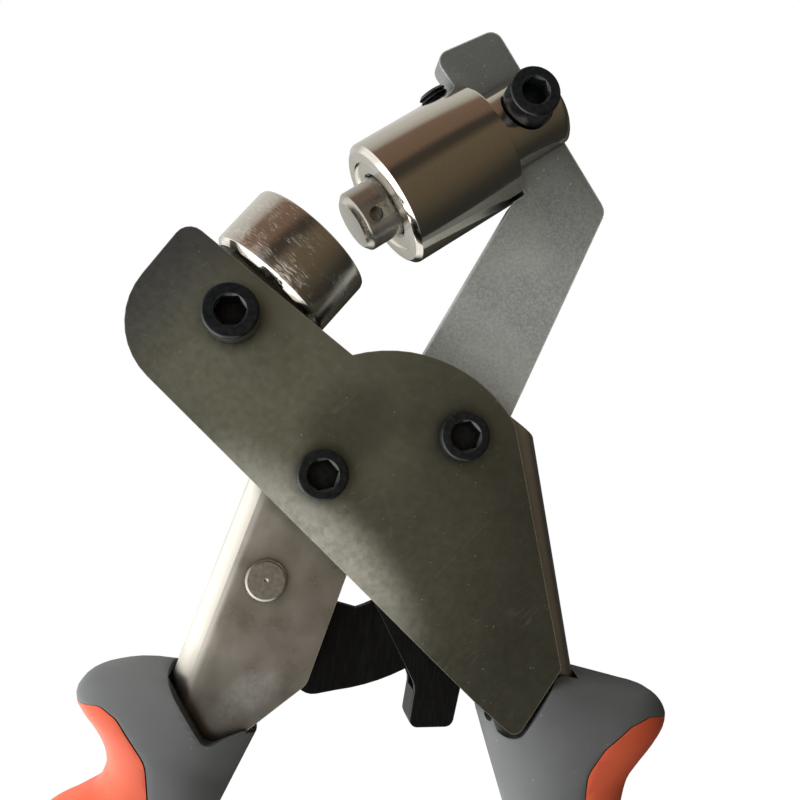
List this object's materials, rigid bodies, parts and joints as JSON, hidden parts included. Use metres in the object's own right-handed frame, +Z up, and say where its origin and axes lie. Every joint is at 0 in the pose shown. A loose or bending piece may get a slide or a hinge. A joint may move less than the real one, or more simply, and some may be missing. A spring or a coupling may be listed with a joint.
{
  "type": "rivet setter",
  "caption": "Plier-type hand press for leather rivets: ratcheting handles swing a pivoted arm that drives a round punch into a clamped anvil cup.",
  "frame": {"origin": "centre of the arm pivot bolt's rear end, on the punch arm's pivot axis, in the plane the tool lies on when it is laid on its back", "axes": "+Z up from the handles to the dies, +X to the right as seen from the front side plate, +Y from the front plate to the rear plate"},
  "size_m": [0.1725, 0.031, 0.2424],
  "materials": {
    "side_plates": "blackened steel, satin, lightly scratched",
    "arm_steel": "satin ground steel",
    "channels": "bright satin nickel-plated sheet",
    "nickel": "polished nickel plate over turned steel",
    "black_screws": "black oxide, oiled",
    "black_sheet": "black, semi-gloss",
    "zinc_hardware": "bright zinc plate",
    "spring_steel": "drawn wire",
    "grey_grip": "fine matte moulded plastic",
    "orange_grip": "soft matte overmould"
  },
  "bodies": {
    "frame": {"front_side_plate": "side_plates", "rear_side_plate": "side_plates", "arm_pivot_bolt": "black_screws", "arm_pivot_nut": "zinc_hardware", "handle_pivot_bolt": "black_screws", "handle_pivot_nut": "zinc_hardware", "handle_pivot_bush": "zinc_hardware", "arm_spacer_front": "zinc_hardware", "arm_spacer_rear": "zinc_hardware", "anvil_holder": "nickel", "anvil_die": "arm_steel", "anvil_clamp_screw": "black_screws", "anvil_clamp_nut": "zinc_hardware", "fixed_handle_channel": "channels", "fixed_grip_shell": "grey_grip", "fixed_grip_inlay": "orange_grip", "spring_anchor_pin": "zinc_hardware", "trigger_pin": "zinc_hardware", "return_spring": "spring_steel"},
    "punch_arm": {"punch_arm_plate": "arm_steel", "punch_holder": "nickel", "punch_pin": "nickel", "punch_clamp_screw": "black_screws", "punch_clamp_nut": "zinc_hardware", "punch_set_screw": "black_screws"},
    "moving_handle": {"moving_handle_channel": "channels", "moving_grip_shell": "grey_grip", "moving_grip_inlay": "orange_grip", "ratchet_sector": "black_sheet", "sector_rivet": "nickel", "sector_spacer_front": "zinc_hardware", "sector_spacer_rear": "zinc_hardware", "drive_pin": "zinc_hardware", "spring_hook_pin": "zinc_hardware"},
    "release_trigger": {"release_trigger": "black_sheet", "ratchet_pawl": "black_sheet", "pawl_spring": "spring_steel"}
  },
  "joints": [
    {"name": "handle_hinge", "type": "hinge", "parent": "frame", "child": "moving_handle", "pos_m": [-0.0255, -0.0155, -0.007], "axis": [0, -1, 0], "range_deg": [0, 29], "deforming": ["return_spring"]},
    {"name": "arm_hinge", "type": "hinge", "parent": "frame", "child": "punch_arm", "pos_m": [0, -0.0155, 0], "axis": [0, -1, 0], "range_deg": [0, 16.1]},
    {"name": "trigger_hinge", "type": "hinge", "parent": "frame", "child": "release_trigger", "pos_m": [0.0115, -0.0155, -0.029], "axis": [0, -1, 0], "range_deg": [0, 8]}
  ],
  "couplings": [
    {"joint": "arm_hinge", "follows": "handle_hinge", "ratio": 0.55172}
  ]
}
